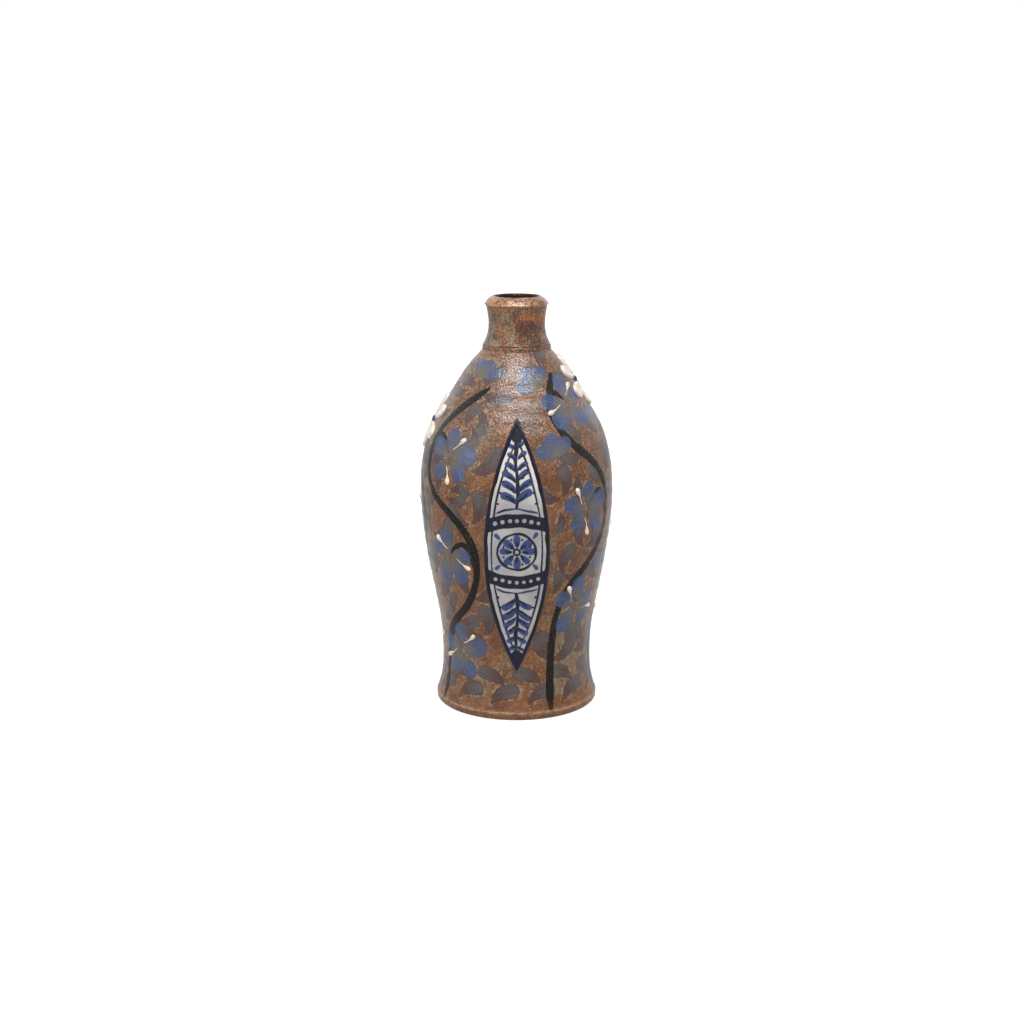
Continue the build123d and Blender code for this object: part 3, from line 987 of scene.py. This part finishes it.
for side in (1, -1):
    rises = np.linspace(-border_rise, border_rise, 9)
    border = oval_half(rises, field_half_length - border_tip_gap, field_half_width - border_side_gap)
    cobalt_line(np.stack([side * border, rises], axis=1), fine_tip)
for n in range(petals_painted):
    aim = n * 360 / petals_painted
    a = radians(aim)
    cobalt_leaf(*spun(petal_ring, a), aim, length=4.6, half=1.65)
    cobalt_line([spun(vein_start, a), spun(vein_end, a + 0.04)], fine_tip)
    cobalt.append((*spun(bead_ring, a + pi / petals_painted), bead_half, bead_dark))
for n in range(ring_touches):
    a = n * 2 * pi / ring_touches
    waver = 0.12 * sin(3 * a + 1) + 0.08 * sin(7 * a)
    cobalt.append((*spun(rosette_ring + waver, a), 0.6 + 0.1 * sin(5 * a), 1.0))
    cobalt.append((*spun(eye_ring, a), 0.5, 1.0))
for way in (1, -1):
    for k in np.linspace(-1, 1, 60):
        for rise in band_rises:
            swayed = rise + 0.15 * sin(9 * k + rise)
            cobalt.append((band_reach * k, way * (swayed - band_sag * k * k), 1.0, 1.0))
    for n in range(-3, 4):
        rise = dot_rise - dot_sag * (n * dot_step / dot_reach) ** 2 + hand.normal(0, 0.12)
        aside = n * dot_step + hand.normal(0, 0.12)
        bare_dots.append((aside, way * rise, dot_half + hand.normal(0, 0.08)))
    cobalt_line([(aside, way * rise) for aside, rise in arch], arch_tip, dark=0.5)
    cobalt_line([(aside, way * rise) for aside, rise in stalk], stalk_tip)
    for n, reach in enumerate(sprig_reaches):
        for side in (1, -1):
            root = side * sprig_aside
            rise = way * (sprig_foot + n * sprig_step + 0.6 * (side > 0))
            aim = side * (sprig_aim if way > 0 else 180 - sprig_aim)
            half = sprig_half - sprig_taper * n
            cobalt_leaf(root, rise, aim, reach, half, curl=side * way * sprig_curl)
            a = radians(aim)
            tip = (root + reach * vein_share * sin(a), rise + reach * vein_share * cos(a))
            cobalt_line([(root, rise), tip], fine_tip)
    for n, dot in enumerate(margin_dots):
        for side in (1, -1):
            half = bead_half + hand.normal(0, 0.06)
            cobalt.append((side * dot, way * (margin_foot + n * margin_step), half, bead_dark))
    for side in (1, -1):
        aim = side * corner_aim if way > 0 else 180 - side * corner_aim
        cobalt_leaf(side * corner_leaf[0], way * corner_leaf[1], aim, length=2.6, half=0.95)
    for rise in np.linspace(tip_start, field_half_length, 14):
        half = float(oval_half(rise, field_half_length, field_half_width)) + tip_spill
        cobalt.append((0, way * rise, half, 1.0))

far_off = 3.0
y = z - middle_height
cobalt_gap, bare_gap = np.full(x.shape, far_off), np.full(x.shape, far_off)
cobalt_dark = np.zeros(x.shape)
for px, py, half, dark in cobalt:
    gap = np.hypot(x - px, y - py) - half
    over = (gap < 0) | (gap < cobalt_gap)
    cobalt_dark = np.where(over, dark, cobalt_dark)
    cobalt_gap = np.minimum(gap, cobalt_gap)
for px, py, half in bare_dots:
    bare_gap = np.minimum(bare_gap, np.hypot(x - px, y - py) - half)


def on_top(values, beneath):
    """Values for the top of the field, with this one all over its underside."""
    loops = np.full(field_loops.shape[:2], beneath)
    loops[:, : len(across)] = values
    return loops


white = Finish("white_slip_with_cobalt")
curd = white.noise(2.6, 3.0)
cloud = white.noise(11.0, 2.0)
# Painted light and shade: the white slip is painted grey low on the panel and bright towards its top, as if
# lit from above.
white.colour = white.mix(white.ramp(cloud, 0.38, 0.66), paint(150, 148, 148), paint(172, 169, 164))
panel_top_light = white.ramp(white.sum(white.number("up_panel"), white.times(cloud, 10.0)), 22, 42)
white.over(panel_top_light, paint(206, 199, 188))
white.over(white.ramp(curd, 0.58, 0.76, 0.0, 0.45), paint(140, 132, 126))
white.over(white.times(white.dots(2.3, 0.14, 0.07, cluster=3.0, scarce=0.62), 0.7), paint(92, 84, 92))
ragged = white.swing(white.noise(0.7, 2.0), 0.36)
edge = white.sum(white.number("cobalt_gap"), ragged)
dark = white.sum(white.number("cobalt_dark"), white.swing(white.noise(1.1, 3.0), 1.1))
ink = white.mix(white.ramp(dark, 0.05, 0.75), paint(52, 66, 112), paint(12, 14, 30))
white.over(white.ramp(edge, 0.5, 0.0, 0.0, 0.4), paint(112, 120, 148))
spared = white.ramp(white.sum(white.number("bare_gap"), ragged), -0.14, 0.12)
inked = white.times(white.ramp(edge, 0.12, -0.14, 0.0, 0.97), spared)
white.over(inked, ink)
gloss = white.ramp(inked, 0.0, 1.0, 0.3, 0.15)
white.fired_slip(curd, smooth=0.24, dull=0.36, gloss=gloss, lumps=1.3, depth=0.07)

for name, front in (("front_panel", True), ("back_panel", False)):
    panel = piece(name, *sleeve(field_loops if front else half_round(field_loops)))
    remember(panel, "cobalt_gap", on_top(cobalt_gap, far_off))
    remember(panel, "cobalt_dark", on_top(cobalt_dark, 0.0))
    remember(panel, "bare_gap", on_top(bare_gap, far_off))
    remember(panel, "up_panel", np.broadcast_to(heights[:, None], field_loops.shape[:2]))
    white.wear(panel)
    if front:
        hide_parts("panel_fields")

# The dark line round each panel: blue-black slip, trailed thick so that it stands as a low rounded
# ridge between the white slip and the clay.
side_count = 230
section = 14
outer_sway, inner_sway = 0.17, 0.35
drawn_in = 0.08
outline_wander = 0.08


def oval_places(half_length, half_width, share):
    """Places round the pointed oval, up its right side and down its left."""
    y = -half_length + 2 * half_length * share
    right = np.stack([oval_half(y, half_length, half_width), y], axis=1)
    left = np.stack([-right[::-1, 0], right[::-1, 1]], axis=1)
    return np.concatenate([right[:-1], left[:-1]])


share = (1 - np.cos(np.linspace(0, pi, side_count))) / 2
outer_places = oval_places(panel_length / 2, panel_half_width, share)
inner_places = oval_places(field_half_length, field_half_width, share)
outward = outer_places - inner_places
outward /= np.linalg.norm(outward, axis=1)[:, None]
round_oval = flat(*outer_places.T)
outer_shift = outer_sway * drift(round_oval, size=15, seed=31) - drawn_in
outer_line = outer_places + outward * outer_shift[:, None]
inner_line = inner_places + outward * (inner_sway * drift(round_oval, size=12, seed=32))[:, None]
over = np.linspace(0, 1, section)
reach = inner_line[:, None] * (1 - over[:, None]) + outer_line[:, None] * over[:, None]
bow = np.sqrt(1 - (2 * over - 1) ** 2) ** 0.7
thickness = outline_thickness + outline_wander * drift(round_oval, size=16, seed=33)
height = -sunk + (sunk + thickness[:, None]) * bow
line_loops = coat_loops(*seen_from_front(reach[..., 0], middle_height + reach[..., 1]), height)[:, ::-1]

navy = Finish("blue_black_slip")
curd = navy.noise(1.4, 2.0)
navy.colour = navy.mix(navy.ramp(navy.noise(6.0, 3.0), 0.4, 0.65), paint(12, 14, 26), paint(20, 24, 50))
navy.over(navy.ramp(curd, 0.62, 0.80, 0.0, 0.4), paint(60, 58, 66))
navy.fired_slip(curd, smooth=0.22, dull=0.34, gloss=0.2, lumps=1.0, depth=0.10)
for name, front in (("front_outline", True), ("back_outline", False)):
    outline = piece(name, *sleeve(line_loops if front else half_round(line_loops), closed=True))
    navy.wear(outline)
    if front:
        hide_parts("panel_outlines")

# The blossoms: six fat petals of white slip pressed on each side of the shoulder, each with the
# groove that the brush left down its middle, round a domed blue heart. The right one sits higher.
petal_count = 6
petal_root = 2.7
petal_length = 12.6
petal_half = 3.8
petal_thickness = 1.0
petal_roll = 1.1
petal_tip_lift = 0.3
petal_lean = 0.25
hair_depth = 0.03
furrow_half = 0.5
furrow_depth = 0.256
swelling_share = 0.6
thinnest = 0.03
heart_radius = 2.0
heart_rise = 1.3


def laid_out(turn, height, aim, xs, ys):
    """Turns and runs at x and y millimetres from a place on the wall, y towards the aim."""
    a = radians(aim)
    right = np.cos(a) * xs + np.sin(a) * ys
    run = run_at(height) + (np.cos(a) * ys - np.sin(a) * xs)
    return radians(turn) + right / radius_at(run), run


def moved_out(turn, height, reach, aim):
    """The place this far along the wall from another."""
    run = run_at(height) + reach * cos(radians(aim))
    aside = reach * sin(radians(aim)) / radius_at(run_at(height))
    return turn + degrees(aside), np.interp(run, wall_run, wall[:, 1])


def gathered(parts):
    """Several skins as one piece's points and faces."""
    points, faces, base = [], [], 0
    for some_points, some_faces in parts:
        points.append(some_points)
        faces += [[base + k for k in face] for face in some_faces]
        base += len(some_points)
    return np.concatenate(points), faces


cap = petal_half / petal_length
t = np.linspace(0.0, 1.0, 46)
rounding_off = np.sin(pi / 2 * (t - swelling_share) / (1 - swelling_share))
t = np.where(t < swelling_share, t / swelling_share * (1 - cap), 1 - cap * (1 - rounding_off))
swelling = petal_half * np.sin(pi / 2 * np.clip(t / (1 - cap), 0, 1) ** 0.85)
rounding = petal_half * np.sqrt(np.maximum(1 - ((t - 1 + cap) / cap) ** 2, 0))
petal_halves = np.maximum(np.where(t < 1 - cap, swelling, rounding), thinnest)
u = np.sin(np.linspace(-1, 1, 25) * pi / 2)
petal_x = petal_halves[:, None] * u[None, :]
petal_y = np.broadcast_to(((t - 0.5) * petal_length)[:, None], petal_x.shape)
inset = np.minimum(petal_halves[:, None] - np.abs(petal_x), (1 - t)[:, None] * petal_length)
rolled = np.sqrt(1 - (1 - np.clip(inset / petal_roll, 0, 1)) ** 2)
furrow = np.exp(-((petal_x / furrow_half) ** 2)) * (eased(t / 0.3) * eased((1 - t) / 0.3))[:, None]
around = np.linspace(0, 2 * pi, 41)[:-1]
swell = np.linspace(0, pi / 2 * 0.97, 14)[:, None]
heart_reach = heart_radius * np.cos(swell) * (1 + 0.06 * np.cos(5 * around) * np.cos(swell))
heart_lift = -sunk + (heart_rise + sunk) * np.sin(swell)

cream = Finish("white_slip_petals")
curd = cream.noise(1.8, 3.0)
cream.colour = cream.mix(cream.ramp(curd, 0.35, 0.7), paint(206, 195, 182), paint(232, 223, 212))
cream.over(cream.ramp(cream.noise(4.5, 2.0), 0.58, 0.78, 0.0, 0.3), paint(190, 156, 132))
cream.over(cream.ramp(cream.number("thin"), 0.4, 1.0, 0.0, 0.45), paint(160, 130, 110))
cream.fired_slip(curd, smooth=0.24, dull=0.36, gloss=0.35, lumps=0.9, depth=0.06)

blue = Finish("blue_slip_hearts")
curd = blue.noise(1.2, 2.0)
blue.colour = blue.mix(blue.ramp(curd, 0.35, 0.7), paint(36, 46, 88), paint(70, 88, 138))
blue.fired_slip(curd, smooth=0.22, dull=0.34, gloss=0.3, lumps=0.8, depth=0.06)

petal_sets, hearts = [], []
for name, (at, middle) in blossoms.items():
    parts, thins = [], []
    for n in range(petal_count):
        aim = n * 360 / petal_count
        place = moved_out(at, middle, petal_root + petal_length / 2, aim)
        pressed = furrow_depth * (1 + 0.5 * sin(2.3 * n + at))
        lean = petal_lean * sin(1.7 * n + at) * petal_x / petal_half
        streaks = hair_depth * np.sin(petal_x * 5.2 + 1.3 * n + 0.5 * np.sin(petal_y)) * rolled
        rise = petal_thickness + sunk + petal_tip_lift * t[:, None] + lean - pressed * furrow
        shorter = 1 - 0.05 * abs(sin(n * 2.9 + at))
        xs, ys = petal_x * shorter, (petal_y + petal_length / 2) * shorter - petal_length / 2
        loops = coat_loops(*laid_out(*place, aim, xs, ys), -sunk + rise * rolled + streaks)
        parts.append(sleeve(loops))
        thin = np.ones(loops.shape[:2])
        thin[:, : len(u)] = np.maximum(furrow * 0.55, (1 - eased(t / 0.35))[:, None])
        thins.append(thin.ravel())
    petals = piece(f"{name}_blossom_petals", *gathered(parts))
    remember(petals, "thin", np.concatenate(thins))
    cream.wear(petals)
    petal_sets.append(petals)
    heart_places = laid_out(at, middle, 0, heart_reach * np.sin(around), heart_reach * np.cos(around))
    heart = piece(f"{name}_blossom_heart", *sleeve(on_wall(*heart_places, heart_lift)))
    blue.wear(heart)
    hearts.append(heart)
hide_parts("blossom_petals")
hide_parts("blossom_hearts")

# The trailed drops: thin cream slip let fall from a quill, a bead that was drawn off into a curved tail
# towards the middle of the rosette below it.
drop_half = 1.25
drop_length = 9.0
drop_thickness = 0.9
drop_spread = 8.4
bead_length = 1.35 * drop_half
thread_half = 0.24
thread_share = 0.42
crowned = 1.2
belly_down = 0.25

t = np.linspace(0, 1, 40)
bead = 1 - bead_length / drop_length
head = np.sqrt(np.maximum(1 - ((t - bead) / (1 - bead)) ** 2, 0)) * drop_half
drawn = thread_half + (drop_half - thread_half) * eased((t / bead - thread_share) / (1 - thread_share)) ** 1.5
drop_halves = np.where(t < bead, drawn, head) * np.sqrt(np.clip(t * 14 + 0.03, 0, 1))
drop_halves = np.maximum(drop_halves, thinnest)[:, None]
around = np.linspace(0, 2 * pi, 21)[:-1]
drop_rise = np.where(np.sin(around) > 0, drop_thickness / drop_half * crowned, belly_down)

quill = Finish("cream_slip_drops")
curd = quill.noise(1.0, 2.0)
quill.colour = quill.mix(quill.ramp(curd, 0.38, 0.66), paint(204, 184, 160), paint(232, 222, 206))
quill.fired_slip(curd, smooth=0.16, dull=0.26, gloss=0.4, lumps=0.6, depth=0.02, detail=1.0)

parts = []
for half_turn in (0, 180):
    for n, (turn, height, spins) in enumerate(rosettes):
        for k, spin in enumerate(spins):
            place = moved_out(turn + half_turn, height, drop_spread, spin)
            curl = (1.6 + 0.5 * (n % 3)) * (1 if (n + k) % 2 else -1)
            size = 1 + 0.09 * sin(n * 2.3 + k * 1.9 + half_turn)
            xs = curl * ((1 - t)[:, None] ** 2 - 0.3) + size * drop_halves * np.cos(around)
            ys = np.broadcast_to((t - 0.5)[:, None] * drop_length, xs.shape)
            lift = size * drop_halves * np.sin(around) * drop_rise
            parts.append(sleeve(on_wall(*laid_out(*place, spin, xs, ys), lift)[:, ::-1]))
drops = piece("trailed_drops", *gathered(parts))
quill.wear(drops)
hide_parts("slip_drops")
